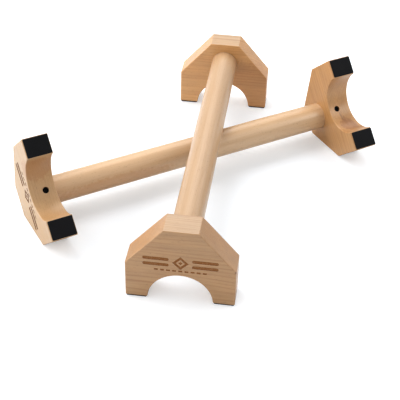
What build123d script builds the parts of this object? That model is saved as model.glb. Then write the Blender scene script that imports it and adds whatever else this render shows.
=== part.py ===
"""A pair of wooden parallettes, the low parallel bars used for push-ups and handstands.

Each bar is a round dowel glued into a socket in two arched end blocks. A wood screw driven up
through the crown of each arch locks the dowel, and a rubber pad covers each foot. The upper bar
stands on its pads. The lower bar lies on its sloping faces and crosses beneath the upper dowel.

Row frame: +Z up, +Y along the upper bar towards its rear end. The origin is on the floor, at
the centre of the pair's bounding box. Millimetres.
"""
import os
from math import atan2, cos, degrees, radians, sin

from build123d import *

# Whole bar
BAR_LENGTH = 500
BAR_HEIGHT = 106.5
DOWEL_DIAMETER = 38
DOWEL_AXIS_HEIGHT = 75.5

# End block
BLOCK_WIDTH = 135
BLOCK_THICKNESS = 35
TOP_WIDTH = 43
SHOULDER_HEIGHT = 53.5
FOOT_WIDTH = 27
ARCH_CENTRE_HEIGHT = -0.5
EDGE_ROUNDING = 1.2

# Dowel joint
SOCKET_DEPTH = 28.5
SOCKET_CLEARANCE = 0.05
DOWEL_INSERTION = 28
DOWEL_END_CHAMFER = 1

# Foot pad
PAD_THICKNESS = 2
PAD_INSET = 0.9
PAD_CORNER = 0.8
PAD_EDGE = 0.3

# Wood screw and its hole
SCREW_INSET = 13.5
SCREW_LENGTH = 30
SCREW_CORE_DIAMETER = 3.4
SCREW_THREAD_DIAMETER = 5
SCREW_SHANK_LENGTH = 8
SCREW_POINT_LENGTH = 4
THREAD_PITCH = 2.2
HEAD_DIAMETER = 8
HEAD_HEIGHT = 2.8
HEAD_ROUNDING = 1.2
DRIVE_SPAN = 4.4
DRIVE_WIDTH = 1.1
DRIVE_DEPTH = 1.6
COUNTERBORE_DIAMETER = 8.6
COUNTERBORE_DEPTH = 7
CLEARANCE_HOLE_DIAMETER = 5.2
PILOT_HOLE_DIAMETER = 3.5
PILOT_HOLE_SPARE = 2
CUT_START = 1

# Engraved mark on each outer face
MARK_DEPTH = 0.4
MARK_HEIGHT = 60
MARK_BAR = (32, 4.6)
MARK_BAR_OFFSET = (30, 4.3)
MARK_DIAMOND = 14
MARK_DIAMOND_LINE = 3
MARK_DIAMOND_CORE = 3.6
DASH_HEIGHT = 47.6
DASH = (4.8, 2.6)
DASH_PITCH = 7.4
DASH_COUNT = 9

# The lower bar, seen from above: its turn from the X axis, and its middle from the upper bar's
LOWER_YAW = 35.7
LOWER_SHIFT = (-24.2, 23.3)

# Derived sizes
DOWEL_RADIUS = DOWEL_DIAMETER / 2
ARCH_HALF_WIDTH = BLOCK_WIDTH / 2 - FOOT_WIDTH
ARCH_RADIUS = (ARCH_HALF_WIDTH**2 + ARCH_CENTRE_HEIGHT**2) ** 0.5
ARCH_CROWN = ARCH_CENTRE_HEIGHT + ARCH_RADIUS
INNER_FACE = BAR_LENGTH / 2 - BLOCK_THICKNESS
SCREW_PLACE = INNER_FACE + SCREW_INSET
HEAD_SEAT = ARCH_CROWN + COUNTERBORE_DEPTH
SLOPE_RUN = (BLOCK_WIDTH - TOP_WIDTH) / 2
SLOPE_TILT = degrees(atan2(SLOPE_RUN, BAR_HEIGHT - SHOULDER_HEIGHT))


def lying_bar_cross_section():
    """Each outline corner of the lying bar as (sideways, height) from its dowel axis."""
    tilt = radians(SLOPE_TILT)
    half_top, half_width = TOP_WIDTH / 2, BLOCK_WIDTH / 2
    corners = [(half_top, BAR_HEIGHT), (half_width, SHOULDER_HEIGHT), (half_width, 0)]
    placed = []
    for across, up in corners + [(-a, u) for a, u in corners]:
        rise = up - DOWEL_AXIS_HEIGHT
        sideways = -across * sin(tilt) - rise * cos(tilt)
        height = across * cos(tilt) - rise * sin(tilt)
        placed.append((sideways, height))
    return placed


def bar_planes():
    """The two bars' own planes: x across the bar, y up from its feet, z along its dowel."""
    yaw, tilt = radians(LOWER_YAW), radians(SLOPE_TILT)
    section = lying_bar_cross_section()
    sideways = [point[0] for point in section]
    axis_height = -min(point[1] for point in section)
    lower_x = -sin(yaw) * (max(sideways) + min(sideways)) / 2
    upper_x = lower_x - LOWER_SHIFT[0]
    along = Vector(-cos(yaw), -sin(yaw), 0)
    up = Vector(-sin(yaw) * cos(tilt), cos(yaw) * cos(tilt), -sin(tilt))
    lower_axis = Vector(lower_x, LOWER_SHIFT[1], axis_height)
    upper = Plane(origin=(upper_x, 0, 0), x_dir=(1, 0, 0), z_dir=(0, -1, 0))
    lower = Plane(origin=lower_axis - up * DOWEL_AXIS_HEIGHT, x_dir=up.cross(along), z_dir=along)
    return upper, lower


def screw_plane(bar, end, height):
    """A plane across the screw's axis, at a height above the feet, facing up the bar."""
    origin = bar.from_local_coords((0, height, end * SCREW_PLACE))
    return Plane(origin=origin, x_dir=bar.x_dir, z_dir=bar.y_dir)


def end_plane(bar, end, distance):
    """A plane across the bar at a distance from its middle, facing out of that end."""
    if end > 0:
        return bar.offset(distance)
    origin = bar.from_local_coords((0, 0, -distance))
    return Plane(origin=origin, x_dir=-bar.x_dir, z_dir=-bar.z_dir)


def engraved_mark():
    """A plain ornament: a diamond between two pairs of parallel strokes, over a row of dashes."""
    with Locations((0, MARK_HEIGHT)):
        with GridLocations(2 * MARK_BAR_OFFSET[0], 2 * MARK_BAR_OFFSET[1], 2, 2):
            SlotOverall(*MARK_BAR)
        with Locations(Rotation(0, 0, 45)):
            Rectangle(MARK_DIAMOND, MARK_DIAMOND)
            Rectangle(
                MARK_DIAMOND - 2 * MARK_DIAMOND_LINE,
                MARK_DIAMOND - 2 * MARK_DIAMOND_LINE,
                mode=Mode.SUBTRACT,
            )
            Rectangle(MARK_DIAMOND_CORE, MARK_DIAMOND_CORE)
    with Locations((0, DASH_HEIGHT)):
        with GridLocations(DASH_PITCH, 1, DASH_COUNT, 1):
            Rectangle(*DASH)


def make_end_block(label, bar, end):
    """Arched hardwood block with a blind socket for the dowel and a counterbored screw hole."""
    half_top, half_width = TOP_WIDTH / 2, BLOCK_WIDTH / 2
    with BuildPart() as block:
        with BuildSketch(end_plane(bar, end, INNER_FACE)):
            with BuildLine():
                Polyline(
                    (-half_width, PAD_THICKNESS),
                    (-half_width, SHOULDER_HEIGHT),
                    (-half_top, BAR_HEIGHT),
                    (half_top, BAR_HEIGHT),
                    (half_width, SHOULDER_HEIGHT),
                    (half_width, PAD_THICKNESS),
                    close=True,
                )
            make_face()
            with Locations((0, ARCH_CENTRE_HEIGHT)):
                Circle(ARCH_RADIUS, mode=Mode.SUBTRACT)
        extrude(amount=BLOCK_THICKNESS)
        fillet(block.edges(), radius=EDGE_ROUNDING)
        with BuildSketch(end_plane(bar, end, INNER_FACE)):
            with Locations((0, DOWEL_AXIS_HEIGHT)):
                Circle(DOWEL_RADIUS + SOCKET_CLEARANCE)
        extrude(amount=SOCKET_DEPTH, mode=Mode.SUBTRACT)
        with BuildSketch(screw_plane(bar, end, ARCH_CROWN - CUT_START)):
            Circle(COUNTERBORE_DIAMETER / 2)
        extrude(amount=COUNTERBORE_DEPTH + CUT_START, mode=Mode.SUBTRACT)
        with BuildSketch(screw_plane(bar, end, HEAD_SEAT)):
            Circle(CLEARANCE_HOLE_DIAMETER / 2)
        extrude(amount=DOWEL_AXIS_HEIGHT - HEAD_SEAT, mode=Mode.SUBTRACT)
        with BuildSketch(end_plane(bar, end, BAR_LENGTH / 2)):
            engraved_mark()
        extrude(amount=-MARK_DEPTH, mode=Mode.SUBTRACT)
    finish(block, label)


def make_dowel(label, bar):
    """Round hand rail, chamfered at both ends and pilot drilled for the two screws."""
    half_length = INNER_FACE + DOWEL_INSERTION
    drilled = HEAD_SEAT + SCREW_LENGTH + PILOT_HOLE_SPARE - (DOWEL_AXIS_HEIGHT - DOWEL_RADIUS)
    with BuildPart() as dowel:
        with BuildSketch(bar.offset(-half_length)):
            with Locations((0, DOWEL_AXIS_HEIGHT)):
                Circle(DOWEL_RADIUS)
        extrude(amount=2 * half_length)
        chamfer(dowel.edges().filter_by(GeomType.CIRCLE), length=DOWEL_END_CHAMFER)
        for end in (1, -1):
            with BuildSketch(screw_plane(bar, end, DOWEL_AXIS_HEIGHT - DOWEL_RADIUS - CUT_START)):
                Circle(PILOT_HOLE_DIAMETER / 2)
            extrude(amount=drilled + CUT_START, mode=Mode.SUBTRACT)
    finish(dowel, label)


def make_foot_pad(label, bar, end, side):
    """Thin rubber pad stuck to one foot, a little smaller than the wood it covers."""
    centre = end_plane(bar, end, INNER_FACE + BLOCK_THICKNESS / 2)
    across = side * (BLOCK_WIDTH - FOOT_WIDTH) / 2
    origin = centre.from_local_coords((across, 0, 0))
    with BuildPart() as pad:
        with BuildSketch(Plane(origin=origin, x_dir=centre.x_dir, z_dir=centre.y_dir)):
            RectangleRounded(
                FOOT_WIDTH - 2 * PAD_INSET, BLOCK_THICKNESS - 2 * PAD_INSET, PAD_CORNER
            )
        extrude(amount=PAD_THICKNESS)
        tread = pad.faces().filter_by(Plane(origin=origin, z_dir=centre.y_dir)).sort_by(
            Axis(origin, centre.y_dir)
        )[0]
        chamfer(tread.edges(), length=PAD_EDGE)
    finish(pad, label)


def make_screw(label, bar, end):
    """Pan-head wood screw with a cross recess, standing head down in its counterbore."""
    seat = screw_plane(bar, end, HEAD_SEAT)
    profile_plane = Plane(origin=seat.origin, x_dir=seat.x_dir, z_dir=-seat.y_dir)
    core, crest, head = SCREW_CORE_DIAMETER / 2, SCREW_THREAD_DIAMETER / 2, HEAD_DIAMETER / 2
    thread_end = SCREW_LENGTH - SCREW_POINT_LENGTH
    turns = int((thread_end - SCREW_SHANK_LENGTH) / THREAD_PITCH)
    points = [(0, -HEAD_HEIGHT), (head, -HEAD_HEIGHT), (head, 0), (core, 0)]
    for turn in range(turns):
        start = SCREW_SHANK_LENGTH + turn * THREAD_PITCH
        points += [
            (core, start),
            (crest, start + THREAD_PITCH * 0.45),
            (core, start + THREAD_PITCH * 0.8),
        ]
    points += [(core, thread_end), (0, SCREW_LENGTH)]
    with BuildPart() as screw:
        with BuildSketch(profile_plane) as outline:
            with BuildLine():
                Polyline(*points, close=True)
            make_face()
            rim = outline.vertices().group_by(Axis(seat.origin, seat.z_dir))[0].sort_by(
                Axis(seat.origin, seat.x_dir)
            )[-1]
            fillet(rim, radius=HEAD_ROUNDING)
        revolve(axis=Axis(seat.origin, seat.z_dir))
        with BuildSketch(seat.offset(-HEAD_HEIGHT)):
            Rectangle(DRIVE_SPAN, DRIVE_WIDTH)
            Rectangle(DRIVE_WIDTH, DRIVE_SPAN)
        extrude(amount=DRIVE_DEPTH, taper=8, mode=Mode.SUBTRACT)
    finish(screw, label)


def finish(piece, label):
    """Names a finished piece and writes it to its own file."""
    piece.part.label = label
    export_step(piece.part, f"parts/{label}.step")


def make_bar(bar, prefix, ends, sides):
    """All nine pieces of one bar. Ends and sides give the names used at +1 and -1."""
    make_dowel(f"{prefix}_dowel", bar)
    for end, end_name in ends.items():
        make_end_block(f"{prefix}_{end_name}_block", bar, end)
        make_screw(f"{prefix}_{end_name}_screw", bar, end)
        for side, side_name in sides.items():
            make_foot_pad(f"{prefix}_{end_name}_{side_name}_pad", bar, end, end * side)


os.makedirs("parts", exist_ok=True)
upper_bar, lower_bar = bar_planes()
make_bar(upper_bar, "upper", {1: "front", -1: "rear"}, {1: "right", -1: "left"})
make_bar(lower_bar, "lower", {1: "left", -1: "right"}, {1: "raised", -1: "floor"})
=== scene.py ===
"""Looks for the pair of wooden parallettes: beech blocks and dowels, rubber pads, black screws.

Everything is in metres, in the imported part's own frame: +Z up, +Y along the upper bar.
"""

import math

import bmesh
import bpy
from mathutils import Matrix, Vector


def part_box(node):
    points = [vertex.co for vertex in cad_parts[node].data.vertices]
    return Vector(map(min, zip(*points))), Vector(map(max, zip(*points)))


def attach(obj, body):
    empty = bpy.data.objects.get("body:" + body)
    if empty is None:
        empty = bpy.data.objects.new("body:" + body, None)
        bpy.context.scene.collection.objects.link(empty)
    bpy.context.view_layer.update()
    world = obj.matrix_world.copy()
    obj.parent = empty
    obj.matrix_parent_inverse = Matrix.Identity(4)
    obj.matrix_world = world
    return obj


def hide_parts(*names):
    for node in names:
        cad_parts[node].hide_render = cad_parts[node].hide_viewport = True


# Camera: where it stands from the point it looks at, in degrees and metres
CAMERA_AZIMUTH = 6.5
CAMERA_ELEVATION = 36.75
CAMERA_ROLL = 1.65
CAMERA_DISTANCE = 1.3986
# Its lens and sensor, in millimetres, and the nearest and farthest that it sees
CAMERA_LENS = 90.6
CAMERA_SENSOR = 36
CAMERA_CLIP = (0.05, 30)
LOOK_AT_FROM_UPPER_BAR = Vector((-0.0025, -0.0413, 0))

# The mark sunk in each block's outer face: half its width, its lowest and highest points, its depth
MARK_HALF_WIDTH = 0.048
MARK_LOW, MARK_HIGH = 0.0445, 0.0705
MARK_DEPTH = 0.0004

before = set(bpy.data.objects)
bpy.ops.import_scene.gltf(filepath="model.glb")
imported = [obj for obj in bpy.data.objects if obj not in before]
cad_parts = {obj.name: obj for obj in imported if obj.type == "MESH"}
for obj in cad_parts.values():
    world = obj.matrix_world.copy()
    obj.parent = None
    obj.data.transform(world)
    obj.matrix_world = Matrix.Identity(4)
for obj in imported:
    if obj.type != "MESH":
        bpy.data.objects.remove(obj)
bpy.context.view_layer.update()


# ---------------------------------------------------------------- bar frames


def centre_of(node):
    low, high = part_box(node)
    return (low + high) / 2


class Bar:
    """One bar's own axes: across its blocks, up from its feet, and along its dowel."""

    def __init__(self, prefix, ends, sides):
        self.prefix = prefix
        self.body = prefix + "_bar"
        self.ends = ends
        self.sides = sides
        near, far = (centre_of(f"{prefix}_{end}_block") for end in ends)
        self.along = (near - far).normalized()
        first, second = (centre_of(f"{prefix}_{ends[0]}_{side}_pad") for side in sides)
        self.across = (first - second).normalized()
        self.up = self.along.cross(self.across)
        self.axis_point = centre_of(f"{prefix}_dowel")
        self.half_length = self.extent(f"{prefix}_{ends[0]}_block", self.along, self.axis_point)
        foot = self.extent(f"{prefix}_{ends[0]}_{sides[0]}_pad", -self.up, self.axis_point)
        self.origin = self.axis_point - self.up * foot

    def extent(self, node, direction, start):
        """How far a node reaches from a point along a direction."""
        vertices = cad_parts[node].data.vertices
        return max((vertex.co - start).dot(direction) for vertex in vertices)

    def local(self, point):
        offset = point - self.origin
        return Vector((offset.dot(self.across), offset.dot(self.up), offset.dot(self.along)))

    def place(self, across, up, along):
        return self.origin + self.across * across + self.up * up + self.along * along


bars = [
    Bar("upper", ("front", "rear"), ("right", "left")),
    Bar("lower", ("left", "right"), ("raised", "floor")),
]


# ---------------------------------------------------------------- shader helpers


# How closely the bevelled normal agrees with the true one on an edge, and on an open surface
EDGE_AGREEMENT = (0.9, 0.995)
BEVEL_SAMPLES = 4


class Shader:
    """A small wrapper that adds and wires shader nodes."""

    def __init__(self, name):
        self.material = bpy.data.materials.new(name)
        self.material.use_nodes = True
        self.nodes = self.material.node_tree.nodes
        self.links = self.material.node_tree.links
        self.surface = self.nodes["Principled BSDF"]

    def feed(self, socket, value):
        if isinstance(value, bpy.types.NodeSocket):
            self.links.new(value, socket)
        else:
            socket.default_value = value

    def math(self, operation, first, second=0.0):
        node = self.nodes.new("ShaderNodeMath")
        node.operation = operation
        self.feed(node.inputs[0], first)
        self.feed(node.inputs[1], second)
        return node.outputs[0]

    def vector(self, operation, first, second):
        node = self.nodes.new("ShaderNodeVectorMath")
        node.operation = operation
        self.feed(node.inputs[0], first)
        self.feed(node.inputs[1], second)
        return node.outputs["Value" if operation == "DOT_PRODUCT" else "Vector"]

    def combine(self, x, y, z):
        node = self.nodes.new("ShaderNodeCombineXYZ")
        for socket, value in zip(node.inputs, (x, y, z)):
            self.feed(socket, value)
        return node.outputs[0]

    def noise(self, vector, scale, detail=2.0, roughness=0.5):
        node = self.nodes.new("ShaderNodeTexNoise")
        self.feed(node.inputs["Vector"], vector)
        node.inputs["Scale"].default_value = scale
        node.inputs["Detail"].default_value = detail
        node.inputs["Roughness"].default_value = roughness
        return node.outputs["Fac"]

    def ramp(self, factor, low, high, to_low=0.0, to_high=1.0):
        node = self.nodes.new("ShaderNodeMapRange")
        node.interpolation_type = "SMOOTHSTEP"
        self.feed(node.inputs["Value"], factor)
        node.inputs["From Min"].default_value = low
        node.inputs["From Max"].default_value = high
        node.inputs["To Min"].default_value = to_low
        node.inputs["To Max"].default_value = to_high
        return node.outputs["Result"]

    def mix(self, factor, first, second, blend="MIX"):
        node = self.nodes.new("ShaderNodeMix")
        node.data_type = "RGBA"
        node.blend_type = blend
        self.feed(node.inputs["Factor"], factor)
        self.feed(node.inputs["A"], first)
        self.feed(node.inputs["B"], second)
        return node.outputs["Result"]

    def bump(self, height, distance, strength=1.0):
        node = self.nodes.new("ShaderNodeBump")
        self.feed(node.inputs["Height"], height)
        node.inputs["Distance"].default_value = distance
        node.inputs["Strength"].default_value = strength
        return node.outputs["Normal"]

    def edge(self, radius):
        """1 within a radius of an edge, and 0 on open surfaces."""
        bevel = self.nodes.new("ShaderNodeBevel")
        bevel.samples = BEVEL_SAMPLES
        bevel.inputs["Radius"].default_value = radius
        normal = self.nodes.new("ShaderNodeNewGeometry").outputs["Normal"]
        agreement = self.vector("DOT_PRODUCT", bevel.outputs[0], normal)
        return self.ramp(agreement, *EDGE_AGREEMENT, 1.0, 0.0)

    def point(self):
        return self.nodes.new("ShaderNodeTexCoord").outputs["Object"]

    def normal(self):
        return self.nodes.new("ShaderNodeTexCoord").outputs["Normal"]


# ---------------------------------------------------------------- beech


# Linear colours of the wood
PALE = (0.56, 0.35, 0.198)
LATE_WOOD = (0.43, 0.222, 0.102)
WARM = (0.56, 0.315, 0.158)
PORE = (0.26, 0.13, 0.06)
# Pale edge colour: partly sanded wear, partly a painted highlight on the rounded edges
SANDED_AND_HIGHLIT_EDGE = (0.66, 0.44, 0.27)
# A dark figure tone that also paints shade on the right block's arch
FIGURE_AND_SHADE = (0.30, 0.12, 0.03)
# A ruddy tone, used only to paint shade
RUDDY = (0.40, 0.165, 0.055)
# Amber: partly a figure tone, partly painted warm shade on the lower dowel
AMBER = (0.48, 0.225, 0.075)
# The floor of each bar's mark: burnt wood. The lower bar's is darker because it also holds painted
# shade for the shadow in the mark's grooves
BURN_AND_SHADE = {"upper": (0.29, 0.125, 0.045), "lower": (0.13, 0.05, 0.018)}

# The pith lies this far outside the piece, and the rings waver by up to half of the second number
PITH_DISTANCE = 0.12
RING_WAVER = 0.02
# How many rings' width the spacing wanders by
RING_WANDER = 2.2
# The part of each ring, from 0 to 1, over which late wood grows, and how strong it gets
LATE_WOOD_PHASE = (0.55, 0.95)
LATE_WOOD_STRENGTH = 0.95

# Noise scales: how fine each pattern is across the fibres
WAVER_SCALE = 11.0
DRIFT_SCALE = 20.0
CLOUD_SCALE = 60.0
FADE_SCALE = 75.0
WANDER_SCALE = 95.0
STREAK_SCALE = 620.0
FLECK_SCALE = 1300.0
# How fine each pattern is along the fibres, as a part of that: less is longer
CLOUD_DRAW = 0.2
DRIFT_DRAW = 0.35
STREAK_DRAW = 0.02
FLECK_DRAW, FLECK_WIDEN = 0.2, 0.8
# Drifts are read this far from the other patterns, so that they don't follow them
DRIFT_SHIFT = 3

# The part of each noise's range over which its pattern comes in
FADE_RANGE = (0.3, 0.7)
DRIFT_RANGE = (0.35, 0.72)
CLOUD_RANGE = (0.25, 0.75)
STREAK_RANGE = (0.42, 0.78)
FLECK_RANGE = (0.66, 0.75)
# The same for how squarely a face looks along the fibres, or up its bar, where a sheen is painted
END_GRAIN_RANGE = (0.45, 1.0)
TOP_SHEEN_RANGE = (0.8, 1.0)

# How strongly each pattern shows at full contrast. The rings fade in places, but not below a least
FADE_LEAST = 0.15
DRIFT_AMOUNT = 0.6
CLOUD_DARKER, CLOUD_LIGHTER = 0.11, 0.09
# Streaks have a least strength at any contrast, and gain the rest with it
STREAK_LEAST, STREAK_GAIN = 0.2, 0.28
FLECK_AMOUNT = 0.4
END_GRAIN_AMOUNT = 0.2
EDGE_WIDTH, EDGE_AMOUNT = 0.0012, 0.5

# The finish: how strongly the wood itself reflects, and how much of its oil coat shows
WOOD_SHEEN = 0.75
WOOD_ROUGHNESS, WOOD_ROUGHNESS_RANGE = (0.36, 0.44), (0.3, 0.7)
STREAK_ROUGHNESS = 0.1
STREAK_RELIEF = 0.4
RELIEF_DEPTH = 0.00004
OIL_COAT = 0.6
OIL_COAT_ROUGHNESS = 0.27
# What burning does to the finish, and how unevenly it takes
BURNT_SHEEN = 0.1
BURNT_ROUGHNESS = 0.4
SCORCH_SCALE = 700.0
SCORCH_AMOUNT, SCORCH_RANGE = (0.57, 0.95), (0.2, 0.7)
# The mark's floor lies between these depths, as parts of the mark's own depth
BURNT_DEPTHS = (0.1, 2)

# A patch's edge is ragged, and it fades out over a part of its size
RAGGED_SCALE = 260.0
RAGGED_AMOUNT = 1.3
PATCH_FADE = (0.35, 1.0)


class Board:
    """One piece of beech: where it was cut, how its rings lie, and how warm and deep it is."""

    def __init__(self, origin, fibre, radial, seed, ring_pitch, tint, contrast, top_sheen=None):
        self.origin = origin
        self.fibre = fibre
        self.radial = radial
        self.tangent = fibre.cross(radial).normalized()
        self.seed = seed
        self.ring_pitch = ring_pitch
        self.tint = tint
        self.contrast = contrast
        self.top_sheen = top_sheen


class Grain:
    """A board's own directions in its shader: along its fibres, out through its rings, and sideways."""

    def __init__(self, s, board):
        self.s = s
        self.seed = board.seed
        offset = s.vector("SUBTRACT", s.point(), tuple(board.origin))
        self.along = s.vector("DOT_PRODUCT", offset, tuple(board.fibre))
        self.out = s.vector("DOT_PRODUCT", offset, tuple(board.radial))
        self.side = s.vector("DOT_PRODUCT", offset, tuple(board.tangent))

    def drawn_out(self, draw, shift=0):
        """Where to read a noise so that its pattern is drawn out along the fibres."""
        s = self.s
        length = s.math("MULTIPLY", self.along, draw)
        return s.combine(length, self.out, s.math("ADD", self.side, self.seed + shift))


def linear(colour):
    return tuple(colour) + (1.0,)


def growth_rings(s, board, grain, drawn):
    """How much late wood shows, from rings around a pith far outside the piece."""
    waver = s.math("SUBTRACT", s.noise(drawn, WAVER_SCALE), 0.5)
    out = s.math("ADD", grain.out, PITH_DISTANCE)
    squares = s.math("ADD", s.math("MULTIPLY", out, out), s.math("MULTIPLY", grain.side, grain.side))
    radius = s.math("ADD", s.math("SQRT", squares), s.math("MULTIPLY", waver, RING_WAVER))
    wander = s.noise(s.combine(radius, board.seed, 0.0), WANDER_SCALE, detail=1.0)
    rings = s.math("DIVIDE", radius, board.ring_pitch)
    phase = s.math("FRACT", s.math("ADD", rings, s.math("MULTIPLY", wander, RING_WANDER)))
    start, end = LATE_WOOD_PHASE
    late = s.math("MULTIPLY", s.ramp(phase, start, end), s.ramp(phase, end, 1.0, 1.0, 0.0))
    faded = s.ramp(s.noise(drawn, FADE_SCALE, detail=3.0), *FADE_RANGE, FADE_LEAST, 1.0)
    strength = s.math("MULTIPLY", faded, LATE_WOOD_STRENGTH * board.contrast)
    return s.math("MULTIPLY", late, strength)


def drifts_and_clouds(s, board, grain, cloud, colour):
    """Warm drifts along the board, and soft clouding from how the timber took the finish."""
    drift = s.noise(grain.drawn_out(DRIFT_DRAW, DRIFT_SHIFT), DRIFT_SCALE, detail=3.0)
    warmth = s.ramp(drift, *DRIFT_RANGE, 0.0, DRIFT_AMOUNT * board.contrast)
    colour = s.mix(warmth, colour, linear(WARM))
    darkest = 1.0 - CLOUD_DARKER * board.contrast
    lightest = 1.0 + CLOUD_LIGHTER * board.contrast
    shade = s.ramp(cloud, *CLOUD_RANGE, darkest, lightest)
    return s.mix(1.0, colour, s.combine(shade, shade, shade), "MULTIPLY")


def fibre_streaks(s, board, streaks, colour):
    """Fine streaks of late wood along the fibres."""
    most = STREAK_LEAST + STREAK_GAIN * board.contrast
    return s.mix(s.ramp(streaks, *STREAK_RANGE, 0.0, most), colour, linear(LATE_WOOD))


def beech_flecks(s, grain):
    """The short dark flecks that beech is known by."""
    length = s.math("MULTIPLY", grain.along, FLECK_DRAW)
    point = s.combine(length, s.math("MULTIPLY", grain.out, FLECK_WIDEN), grain.side)
    return s.ramp(s.noise(point, FLECK_SCALE, detail=1.0), *FLECK_RANGE)


def faces_and_edges(s, board, colour):
    """End grain drinks more finish and reads darker. Edges are made pale, partly as sanded wear and
    partly as a painted highlight, and faces that look up the bar get a painted sheen.
    """
    end_grain = s.math("ABSOLUTE", s.vector("DOT_PRODUCT", s.normal(), tuple(board.fibre)))
    depth = s.ramp(end_grain, *END_GRAIN_RANGE, 0.0, END_GRAIN_AMOUNT)
    colour = s.mix(depth, colour, linear(WARM), "MULTIPLY")
    colour = s.mix(1.0, colour, linear(board.tint), "MULTIPLY")
    # Faces that look up the bar get their own paler tint: a painted sheen, for the light they reflect
    # from above and behind
    if board.top_sheen:
        axis, top_sheen_tint = board.top_sheen
        facing_up = s.ramp(s.vector("DOT_PRODUCT", s.normal(), tuple(axis)), *TOP_SHEEN_RANGE)
        colour = s.mix(facing_up, colour, linear(top_sheen_tint), "MULTIPLY")
    # Paler edges: partly sanded wear, partly a painted highlight
    edge_blend = s.math("MULTIPLY", s.edge(EDGE_WIDTH), EDGE_AMOUNT)
    return s.mix(edge_blend, colour, linear(SANDED_AND_HIGHLIT_EDGE))


def beech(name, board):
    """Solid beech: fibres run one way and growth rings stack the other."""
    s = Shader(name)
    grain = Grain(s, board)
    drawn = grain.drawn_out(CLOUD_DRAW)
    cloud = s.noise(drawn, CLOUD_SCALE, detail=3.0, roughness=0.6)
    streaks = s.noise(grain.drawn_out(STREAK_DRAW), STREAK_SCALE, detail=3.0, roughness=0.65)
    flecks = beech_flecks(s, grain)

    colour = s.mix(growth_rings(s, board, grain, drawn), linear(PALE), linear(LATE_WOOD))
    colour = drifts_and_clouds(s, board, grain, cloud, colour)
    colour = fibre_streaks(s, board, streaks, colour)
    colour = s.mix(s.math("MULTIPLY", flecks, FLECK_AMOUNT), colour, linear(PORE))
    colour = faces_and_edges(s, board, colour)

    dull = s.math("MULTIPLY", streaks, STREAK_ROUGHNESS)
    roughness = s.math("ADD", s.ramp(cloud, *WOOD_ROUGHNESS_RANGE, *WOOD_ROUGHNESS), dull)
    relief = s.math("SUBTRACT", s.math("MULTIPLY", streaks, STREAK_RELIEF), flecks)
    s.feed(s.surface.inputs["Base Color"], colour)
    s.feed(s.surface.inputs["Roughness"], roughness)
    s.feed(s.surface.inputs["Normal"], s.bump(relief, RELIEF_DEPTH))
    s.surface.inputs["Specular IOR Level"].default_value = WOOD_SHEEN
    s.surface.inputs["Coat Weight"].default_value = OIL_COAT
    s.surface.inputs["Coat Roughness"].default_value = OIL_COAT_ROUGHNESS
    return s, colour, roughness


def blot(s, colour, bar, centre, size, amount, tone=PORE):
    """A patch of another tone, stretched as its three sizes say, with a ragged edge."""
    offset = s.vector("SUBTRACT", s.point(), tuple(bar.place(*centre)))
    wobble = s.math("SUBTRACT", s.noise(offset, RAGGED_SCALE, detail=3.0), 0.5)
    reach = s.math("MULTIPLY", wobble, RAGGED_AMOUNT)
    for axis, length in zip((bar.across, bar.up, bar.along), size):
        part = s.math("DIVIDE", s.vector("DOT_PRODUCT", offset, tuple(axis)), length)
        reach = s.math("ADD", reach, s.math("MULTIPLY", part, part))
    inside = s.ramp(reach, *PATCH_FADE, amount, 0.0)
    return s.mix(inside, colour, linear(tone))


def burnt_floor(s, bar):
    """How burnt a point is: only the sunken floor of the mark on either outer face."""
    offset = s.vector("SUBTRACT", s.point(), tuple(bar.origin))
    across = s.math("ABSOLUTE", s.vector("DOT_PRODUCT", offset, tuple(bar.across)))
    up = s.vector("DOT_PRODUCT", offset, tuple(bar.up))
    along = s.math("ABSOLUTE", s.vector("DOT_PRODUCT", offset, tuple(bar.along)))
    depth = s.math("SUBTRACT", bar.half_length, along)
    shallowest, deepest = BURNT_DEPTHS
    burnt = s.math("GREATER_THAN", depth, MARK_DEPTH * shallowest)
    for limit in (
        s.math("LESS_THAN", depth, MARK_DEPTH * deepest),
        s.math("LESS_THAN", across, MARK_HALF_WIDTH),
        s.math("GREATER_THAN", up, MARK_LOW),
        s.math("LESS_THAN", up, MARK_HIGH),
    ):
        burnt = s.math("MULTIPLY", burnt, limit)
    scorch = s.noise(offset, SCORCH_SCALE, detail=3.0)
    return s.math("MULTIPLY", burnt, s.ramp(scorch, *SCORCH_RANGE, *SCORCH_AMOUNT))


def block_material(bar, end, board, patches):
    """A block's beech, its patches, and the burnt floor of the mark on its outer face."""
    s, colour, roughness = beech(f"beech_{bar.prefix}_{end}", board)
    for patch in patches:
        colour = blot(s, colour, bar, *patch)
    burnt = burnt_floor(s, bar)
    dull = s.math("MULTIPLY", burnt, BURNT_ROUGHNESS)
    # On the lower bar, the mark's colour also holds painted shade for its grooves
    s.feed(s.surface.inputs["Base Color"], s.mix(burnt, colour, linear(BURN_AND_SHADE[bar.prefix])))
    s.feed(s.surface.inputs["Roughness"], s.math("ADD", roughness, dull))
    s.feed(s.surface.inputs["Specular IOR Level"], s.ramp(burnt, 0.0, 1.0, WOOD_SHEEN, BURNT_SHEEN))
    s.feed(s.surface.inputs["Coat Weight"], s.ramp(burnt, 0.0, 1.0, OIL_COAT, 0.0))
    return s.material


def dowel_material(bar, board, patches):
    """A dowel's beech and its patches."""
    s, colour, _ = beech(f"beech_{bar.prefix}_dowel", board)
    for patch in patches:
        colour = blot(s, colour, bar, *patch)
    s.feed(s.surface.inputs["Base Color"], colour)
    return s.material


# ---------------------------------------------------------------- rubber and steel


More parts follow.
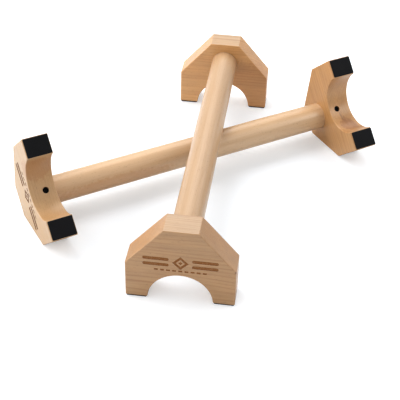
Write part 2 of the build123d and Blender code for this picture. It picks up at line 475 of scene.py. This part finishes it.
RUBBER_DARK, RUBBER_LIGHT = (0.007, 0.007, 0.008), (0.012, 0.012, 0.015)
RUBBER_RANGE = (0.35, 0.75)
RUBBER_ROUGHNESS, RUBBER_ROUGHNESS_RANGE = (0.6, 0.78), (0.3, 0.8)
RUBBER_SHEEN = 0.25
RUBBER_CLOUD_SCALE = 60.0
CELL_SCALE = 1900.0
CELL_DEPTH, CELL_STRENGTH = 0.00012, 0.8
DUST = (0.08, 0.07, 0.06)
DUST_AMOUNT, DUST_RANGE = 0.2, (0.62, 0.8)

STEEL_DARK, STEEL_LIGHT = (0.006, 0.006, 0.006), (0.03, 0.03, 0.028)
STEEL_EDGE = (0.12, 0.115, 0.11)
STEEL_EDGE_WIDTH, STEEL_EDGE_AMOUNT = 0.0004, 0.5
STEEL_ROUGHNESS, STEEL_ROUGHNESS_RANGE = (0.3, 0.5), (0.3, 0.8)
STEEL_METALLIC = 0.9
OXIDE_SCALE = 2400.0
OXIDE_RANGE = (0.4, 0.8)
OXIDE_DEPTH = 0.00003


def rubber_material():
    """Closed-cell rubber: matt black with a fine skin and a trace of dust."""
    s = Shader("pad_rubber")
    point = s.point()
    cells = s.noise(point, CELL_SCALE, roughness=0.6)
    cloud = s.noise(point, RUBBER_CLOUD_SCALE, detail=3.0)
    colour = s.mix(s.ramp(cloud, *RUBBER_RANGE), linear(RUBBER_DARK), linear(RUBBER_LIGHT))
    dust = s.math("MULTIPLY", s.ramp(cells, *DUST_RANGE), DUST_AMOUNT)
    s.feed(s.surface.inputs["Base Color"], s.mix(dust, colour, linear(DUST)))
    s.feed(s.surface.inputs["Roughness"], s.ramp(cloud, *RUBBER_ROUGHNESS_RANGE, *RUBBER_ROUGHNESS))
    s.feed(s.surface.inputs["Normal"], s.bump(cells, CELL_DEPTH, CELL_STRENGTH))
    s.surface.inputs["Specular IOR Level"].default_value = RUBBER_SHEEN
    return s.material


def steel_material():
    """Black oxide over steel, a little brighter where it has been handled."""
    s = Shader("black_oxide_steel")
    oxide = s.noise(s.point(), OXIDE_SCALE, detail=3.0)
    colour = s.mix(s.ramp(oxide, *OXIDE_RANGE), linear(STEEL_DARK), linear(STEEL_LIGHT))
    edge_blend = s.math("MULTIPLY", s.edge(STEEL_EDGE_WIDTH), STEEL_EDGE_AMOUNT)
    s.feed(s.surface.inputs["Base Color"], s.mix(edge_blend, colour, linear(STEEL_EDGE)))
    s.feed(s.surface.inputs["Roughness"], s.ramp(oxide, *STEEL_ROUGHNESS_RANGE, *STEEL_ROUGHNESS))
    s.feed(s.surface.inputs["Normal"], s.bump(oxide, OXIDE_DEPTH))
    s.surface.inputs["Metallic"].default_value = STEEL_METALLIC
    return s.material


# ---------------------------------------------------------------- the six boards


def block_board(bar, lean, seed, ring_pitch, tint, contrast, top_sheen_tint=(1.0, 1.0, 1.0)):
    """A block is cut with its fibres across the bar and its rings leaning over its thickness."""
    lean = math.radians(lean)
    radial = bar.up * math.cos(lean) + bar.along * math.sin(lean)
    top_sheen = (bar.up, top_sheen_tint)
    return Board(bar.origin, bar.across, radial, seed, ring_pitch, tint, contrast, top_sheen)


def dowel_board(bar, turn, seed, ring_pitch, tint, contrast):
    """A dowel is turned with its fibres along it."""
    turn = math.radians(turn)
    radial = bar.up * math.cos(turn) + bar.across * math.sin(turn)
    return Board(bar.axis_point, bar.along, radial, seed, ring_pitch, tint, contrast)


# Each block's board: lean in degrees, seed, ring pitch, tint, contrast, and the tint of its top face, a
# painted sheen that makes it paler
BLOCKS = {
    ("upper", "front"): (34, 0.6, 0.0028, (0.92, 0.89, 0.77), 0.75, (0.96, 1.08, 1.32)),
    ("upper", "rear"): (52, 4.3, 0.0040, (1.13, 1.07, 0.82), 0.8, (0.79, 0.92, 1.28)),
    ("lower", "left"): (44, 2.5, 0.0036, (1.00, 1.05, 0.97), 0.3),
    ("lower", "right"): (28, 6.2, 0.0042, (0.97, 0.90, 0.67), 0.6),
}
# Patches of another tone: centre and size across, up and along the bar, then amount and tone
KNOT = ((0.0662, 0.0538, 0.2498), (0.0013, 0.0013, 0.002), 0.9)
# Painted shade: the dowel's shadow on the right part of the rear block's inner face, in a ruddy tone
SHADE_BESIDE_DOWEL = ((0.052, 0.034, -0.215), (0.060, 0.060, 0.030), 0.33, RUDDY)
# Painted shade: the part of the left block's arch that faces down, made darker and ruddier
SHADED_ARCH = ((0.030, 0.026, 0.235), (0.022, 0.022, 0.030), 0.35, RUDDY)
FIGURED_AND_SHADED_ARCH = (
    ((-0.0115, 0.038, -0.2305), (0.008, 0.008, 0.0016), 0.5),
    ((-0.022, 0.033, -0.2325), (0.012, 0.012, 0.0030), 0.4),
    ((-0.030, 0.026, -0.2400), (0.014, 0.014, 0.0060), 0.3),
    # Partly dark figure and partly painted shade: darkens the part of the right block's arch nearest
    # the floor
    ((-0.028, 0.029, -0.2330), (0.018, 0.018, 0.0140), 0.62, FIGURE_AND_SHADE),
)
# The lower dowel's streak lies along its left half, on the side towards the camera where it is shaded:
# partly figure, partly painted warm shade
AMBER_STREAK_AND_SHADE = ((-0.0143, 0.063, 0.125), (0.012, 0.012, 0.105), 0.4, AMBER)
PATCHES = {
    ("upper", "front"): (KNOT,),
    ("upper", "rear"): (SHADE_BESIDE_DOWEL,),
    ("lower", "left"): (SHADED_ARCH,),
    ("lower", "right"): FIGURED_AND_SHADED_ARCH,
    ("upper", "dowel"): (),
    ("lower", "dowel"): (AMBER_STREAK_AND_SHADE,),
}
# Each dowel's board: turn in degrees, seed, ring pitch, tint and contrast
DOWELS = {
    "upper": (50, 1.7, 0.0046, (0.94, 1.02, 1.07), 0.2),
    "lower": (20, 4.6, 0.0050, (1.14, 1.27, 1.36), 0.12),
}


def dress(node, material):
    """Gives a CAD node its material."""
    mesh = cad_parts[node].data
    mesh.materials.clear()
    mesh.materials.append(material)


def dress_wood(bar):
    """Gives a bar's blocks and dowel their wood."""
    for end in bar.ends:
        key = (bar.prefix, end)
        board = block_board(bar, *BLOCKS[key])
        dress(f"{bar.prefix}_{end}_block", block_material(bar, end, board, PATCHES[key]))
    board = dowel_board(bar, *DOWELS[bar.prefix])
    dress(f"{bar.prefix}_dowel", dowel_material(bar, board, PATCHES[bar.prefix, "dowel"]))


# ---------------------------------------------------------------- pads and screws


CORNER_STEPS = 5
SMOOTH_ANGLE = 40


def rounded_rectangle(half_width, half_length, radius):
    """Outline points, counterclockwise."""
    points = []
    for quarter in range(4):
        sign_x = 1 if quarter in (0, 3) else -1
        sign_y = 1 if quarter in (0, 1) else -1
        for step in range(CORNER_STEPS + 1):
            angle = math.pi / 2 * (quarter + step / CORNER_STEPS)
            points.append((
                sign_x * (half_width - radius) + radius * math.cos(angle),
                sign_y * (half_length - radius) + radius * math.sin(angle),
            ))
    return points


def closed_mesh(name, rings, first_centre, last_centre):
    """A closed mesh from rings of equal length, capped by a fan at each end."""
    mesh = bmesh.new()
    loops = [[mesh.verts.new(point) for point in ring] for ring in rings]
    count = len(loops[0])
    for lower_loop, upper_loop in zip(loops, loops[1:]):
        for i in range(count):
            j = (i + 1) % count
            mesh.faces.new((lower_loop[i], lower_loop[j], upper_loop[j], upper_loop[i]))
    for loop, centre in ((loops[0], first_centre), (loops[-1], last_centre)):
        tip = mesh.verts.new(centre)
        for i in range(count):
            mesh.faces.new((loop[i], loop[(i + 1) % count], tip))
    bmesh.ops.recalc_face_normals(mesh, faces=mesh.faces)
    data = bpy.data.meshes.new(name)
    mesh.to_mesh(data)
    mesh.free()
    made = bpy.data.objects.new(name, data)
    bpy.context.scene.collection.objects.link(made)
    return made


def smooth(piece, angle=SMOOTH_ANGLE):
    """Shades a piece smooth, except at edges sharper than an angle in degrees."""
    for polygon in piece.data.polygons:
        polygon.use_smooth = True
    bpy.context.view_layer.objects.active = piece
    piece.select_set(True)
    bpy.ops.object.shade_smooth_by_angle(angle=math.radians(angle))
    piece.select_set(False)


PAD_HALF_WIDTH, PAD_HALF_LENGTH = 0.0126, 0.0166
PAD_THICKNESS = 0.002
PAD_CORNER, PAD_LEAST_CORNER = 0.0014, 0.0004
# Beyond this far from the foot, a ring is on the tread
TREAD_DEPTH = 0.0018
# Each ring of a pad: how far in from its outline, and how far from the foot
PAD_PROFILE = (
    (0.0080, 0.0),
    (0.00045, 0.0),
    (0.00025, 0.0001),
    (0.00008, 0.0005),
    (0.0, 0.0010),
    (0.00008, 0.0014),
    (0.00030, 0.0017),
    (0.00070, 0.00187),
    (0.0014, 0.00193),
    (0.0035, 0.00197),
    (0.0080, 0.0020),
)


def make_pad(bar, end, side, crowned):
    """A moulded rubber pad with a soft rim; a pad that bears on the floor has a flat tread."""
    node = f"{bar.prefix}_{end}_{side}_pad"
    low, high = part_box(node)
    middle = bar.local((low + high) / 2)
    rings = []
    for inset, depth in PAD_PROFILE:
        if not crowned and depth > TREAD_DEPTH:
            depth = PAD_THICKNESS
        corner = max(PAD_CORNER - inset, PAD_LEAST_CORNER)
        outline = rounded_rectangle(PAD_HALF_WIDTH - inset, PAD_HALF_LENGTH - inset, corner)
        height = PAD_THICKNESS - depth
        rings.append([bar.place(middle.x + x, height, middle.z + z) for x, z in outline])
    pad = closed_mesh(
        f"{node}_rubber",
        rings,
        bar.place(middle.x, PAD_THICKNESS, middle.z),
        bar.place(middle.x, 0.0, middle.z),
    )
    pad.data.materials.append(rubber)
    smooth(pad)
    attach(pad, bar.body)
    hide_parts(node)


SCREW_STEPS = 36
SCREW_SMOOTH_ANGLE = 50
HEAD_RADIUS, HEAD_HEIGHT = 0.004, 0.0028
CORE_RADIUS, CREST_RADIUS = 0.0017, 0.0025
SCREW_LENGTH, SHANK_LENGTH, POINT_LENGTH = 0.030, 0.008, 0.004
THREAD_END = SCREW_LENGTH - POINT_LENGTH
# The thread: its pitch, its rings per turn, and the half width of its crest as a part of the pitch
THREAD_PITCH = 0.0022
THREAD_RINGS = 8
CREST_HALF_WIDTH = 0.28
# The cross recess: its depth, each slot's half width and reach, and how wide their sloping sides are
RECESS_DEPTH = 0.0016
SLOT_HALF_WIDTH, SLOT_SIDE = 0.0008, 0.0003
SLOT_REACH, SLOT_END = 0.0023, 0.0005
RECESS_RADII = (0.0003, 0.0007, 0.0011, 0.0015, 0.0019, 0.0023, 0.0027)
# Radius and height of each plain ring. Heights start at the head's bearing face and grow into the wood
HEAD_PROFILE = (
    (0.0031, -0.0027),
    (0.0036, -0.0024),
    (0.0039, -0.0019),
    (HEAD_RADIUS, -0.0012),
    (HEAD_RADIUS, 0.0),
    (CORE_RADIUS, 0.0),
    (CORE_RADIUS, SHANK_LENGTH),
)
POINT_PROFILE = (
    (CORE_RADIUS, THREAD_END + 0.0002),
    (0.0004, SCREW_LENGTH - 0.0006),
)


def clamp(value):
    return max(0.0, min(1.0, value))


def recess_sink(x, z):
    """How deep the cross is: deep along two lines through the middle, and flat between them."""
    near, far = sorted((abs(x), abs(z)))
    sink = RECESS_DEPTH * clamp((SLOT_HALF_WIDTH - near) / SLOT_SIDE)
    return sink * clamp((SLOT_REACH - far) / SLOT_END)


def thread_radius(height, angle, fade):
    phase = (height / THREAD_PITCH - angle / math.tau) % 1.0
    crest = max(0.0, 1.0 - abs(phase - 0.5) / CREST_HALF_WIDTH)
    return CORE_RADIUS + (CREST_RADIUS - CORE_RADIUS) * crest * fade


def recess_ring(radius):
    """One ring on the head's face. Each point is across, up and along from the seat."""
    ring = []
    for step in range(SCREW_STEPS):
        angle = math.tau * step / SCREW_STEPS
        x, z = radius * math.cos(angle), radius * math.sin(angle)
        ring.append((x, recess_sink(x, z) - HEAD_HEIGHT, z))
    return ring


def turned_ring(height, radius_at):
    """One ring whose radius may vary with its angle."""
    ring = []
    for step in range(SCREW_STEPS):
        angle = math.tau * step / SCREW_STEPS
        radius = radius_at(angle)
        ring.append((radius * math.cos(angle), height, radius * math.sin(angle)))
    return ring


def thread_rings():
    """Rings that follow a helix. It rises out of the shank and sinks back before the point."""
    rings = []
    levels = int((THREAD_END - SHANK_LENGTH) / THREAD_PITCH * THREAD_RINGS)
    for level in range(1, levels + 1):
        height = SHANK_LENGTH + level * THREAD_PITCH / THREAD_RINGS
        fade = min(1.0, level / THREAD_RINGS, (levels + 1 - level) / THREAD_RINGS)
        rings.append(turned_ring(height, lambda angle: thread_radius(height, angle, fade)))
    return rings


def screw_rings():
    """Every ring of a screw, from the middle of its head to its point."""
    rings = [recess_ring(radius) for radius in RECESS_RADII]
    rings += [turned_ring(height, lambda angle: radius) for radius, height in HEAD_PROFILE]
    rings += thread_rings()
    rings += [turned_ring(height, lambda angle: radius) for radius, height in POINT_PROFILE]
    return rings


def make_screw(bar, end):
    """A wood screw with a helical thread and a cross recess, head down in its counterbore."""
    node = f"{bar.prefix}_{end}_screw"
    low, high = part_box(node)
    middle = bar.local((low + high) / 2)
    seat = middle.y - (SCREW_LENGTH - HEAD_HEIGHT) / 2

    def placed(x, y, z):
        return bar.place(middle.x + x, seat + y, middle.z + z)

    screw = closed_mesh(
        f"{node}_threaded",
        [[placed(*point) for point in ring] for ring in screw_rings()],
        placed(0, RECESS_DEPTH - HEAD_HEIGHT, 0),
        placed(0, SCREW_LENGTH, 0),
    )
    screw.data.materials.append(steel)
    smooth(screw, SCREW_SMOOTH_ANGLE)
    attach(screw, bar.body)
    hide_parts(node)


steel = steel_material()
rubber = rubber_material()
for bar in bars:
    dress_wood(bar)
    for end in bar.ends:
        make_screw(bar, end)
        for side in bar.sides:
            make_pad(bar, end, side, crowned=bar.prefix == "lower")


# ---------------------------------------------------------------- floor, light and camera


FLOOR_SIZE = 6.0
FLOOR_COLOUR = (0.80, 0.84, 0.885)
FLOOR_ROUGHNESS, FLOOR_SHEEN = 0.9, 0.1
# What the camera alone sees of the floor: a part of its light, and a painted glow from no lamp, which
# grows away from the middle and lightens the floor and its shadows
FLOOR_SEEN = 0.7
FLOOR_GLOW = (0.38, 0.57)
FLOOR_GLOW_RADII = (0.19, 0.29)
# The studio's soft walls and ceiling: a direction, and how bright the light from it is
DOME = (
    ((0, 0, 1), 0.47),
    ((-1, 0, 0), 1.5),
    ((1, 0, 0), 0.52),
    ((0, -1, 0), 0.34),
)
# Each softbox: name, place, size and power. All of them face the frame's origin
SOFTBOXES = (
    ("softbox_above", (-0.7, 0.5, 1.8), 0.9, 14.4),
    ("softbox_right", (1.4, 0.1, 1.1), 0.8, 5.8),
    ("softbox_left", (-1.5, 0.0, 0.8), 0.8, 7.7),
    ("softbox_back", (0.0, 1.6, 1.6), 1.2, 8.0),
    ("softbox_back_low", (0.0, 1.9, 1.1), 1.4, 2.5),
    ("softbox_back_right", (1.2, 1.5, 1.1), 1.0, 4.9),
)
# The photographer's print is a little harder than a plain one
PRINT_GAMMA = 0.8


def make_floor():
    """A white sheet. Only the camera sees its painted glow, which comes from no lamp, lifts it to white
    and lightens the shadows on it.
    """
    mesh = bmesh.new()
    bmesh.ops.create_grid(mesh, x_segments=4, y_segments=4, size=FLOOR_SIZE)
    data = bpy.data.meshes.new("floor")
    mesh.to_mesh(data)
    mesh.free()
    floor = bpy.data.objects.new("floor", data)
    bpy.context.scene.collection.objects.link(floor)
    s = Shader("studio_white")
    s.surface.inputs["Roughness"].default_value = FLOOR_ROUGHNESS
    s.surface.inputs["Specular IOR Level"].default_value = FLOOR_SHEEN
    seen = s.nodes.new("ShaderNodeLightPath").outputs["Is Camera Ray"]
    darker = linear(channel * FLOOR_SEEN for channel in FLOOR_COLOUR)
    s.feed(s.surface.inputs["Base Color"], s.mix(seen, linear(FLOOR_COLOUR), darker))
    point = s.point()
    distance = s.math("SQRT", s.vector("DOT_PRODUCT", point, point))
    glow = s.ramp(distance, *FLOOR_GLOW_RADII, *FLOOR_GLOW)
    s.surface.inputs["Emission Color"].default_value = (1, 1, 1, 1)
    s.feed(s.surface.inputs["Emission Strength"], s.math("MULTIPLY", seen, glow))
    data.materials.append(s.material)


def make_world():
    """A dome that is brighter towards some directions than others, and that looks white."""
    world = bpy.data.worlds.new("studio")
    world.use_nodes = True
    tree = world.node_tree
    direction = tree.nodes.new("ShaderNodeTexCoord").outputs["Generated"]
    total = None
    for facing, strength in DOME:
        dot = tree.nodes.new("ShaderNodeVectorMath")
        dot.operation = "DOT_PRODUCT"
        tree.links.new(direction, dot.inputs[0])
        dot.inputs[1].default_value = facing
        part = tree.nodes.new("ShaderNodeMapRange")
        tree.links.new(dot.outputs["Value"], part.inputs["Value"])
        part.inputs["To Max"].default_value = strength
        if total is None:
            total = part.outputs["Result"]
        else:
            add = tree.nodes.new("ShaderNodeMath")
            tree.links.new(total, add.inputs[0])
            tree.links.new(part.outputs["Result"], add.inputs[1])
            total = add.outputs[0]
    shown = tree.nodes.new("ShaderNodeMath")
    shown.operation = "MAXIMUM"
    tree.links.new(total, shown.inputs[0])
    tree.links.new(tree.nodes.new("ShaderNodeLightPath").outputs["Is Camera Ray"], shown.inputs[1])
    tree.links.new(shown.outputs[0], tree.nodes["Background"].inputs["Strength"])
    tree.nodes["Background"].inputs["Color"].default_value = (1, 1, 1, 1)
    bpy.context.scene.world = world


def make_softbox(name, place, size, power):
    data = bpy.data.lights.new(name, "AREA")
    data.shape = "SQUARE"
    data.size = size
    data.energy = power
    lamp = bpy.data.objects.new(name, data)
    lamp.location = place
    lamp.rotation_mode = "QUATERNION"
    lamp.rotation_quaternion = (-Vector(place)).to_track_quat("-Z", "Y")
    bpy.context.scene.collection.objects.link(lamp)


def make_camera():
    data = bpy.data.cameras.new("camera")
    data.lens = CAMERA_LENS
    data.sensor_width = CAMERA_SENSOR
    data.clip_start, data.clip_end = CAMERA_CLIP
    camera = bpy.data.objects.new("camera", data)
    azimuth, elevation, roll = map(math.radians, (CAMERA_AZIMUTH, CAMERA_ELEVATION, CAMERA_ROLL))
    flat = math.cos(elevation)
    back = Vector((math.sin(azimuth) * flat, -math.cos(azimuth) * flat, math.sin(elevation)))
    right = Vector((0, 0, 1)).cross(back).normalized()
    up = back.cross(right)
    tilted_right = right * math.cos(roll) + up * math.sin(roll)
    tilted_up = up * math.cos(roll) - right * math.sin(roll)
    rotation = Matrix((tilted_right, tilted_up, back)).transposed()
    target = Vector((bars[0].origin.x, bars[0].origin.y, 0)) + LOOK_AT_FROM_UPPER_BAR
    camera.matrix_world = Matrix.Translation(target + back * CAMERA_DISTANCE) @ rotation.to_4x4()
    bpy.context.scene.collection.objects.link(camera)
    bpy.context.scene.camera = camera


bpy.context.scene.view_settings.view_transform = "Standard"
bpy.context.scene.view_settings.gamma = PRINT_GAMMA
make_floor()
make_world()
for softbox in SOFTBOXES:
    make_softbox(*softbox)
make_camera()
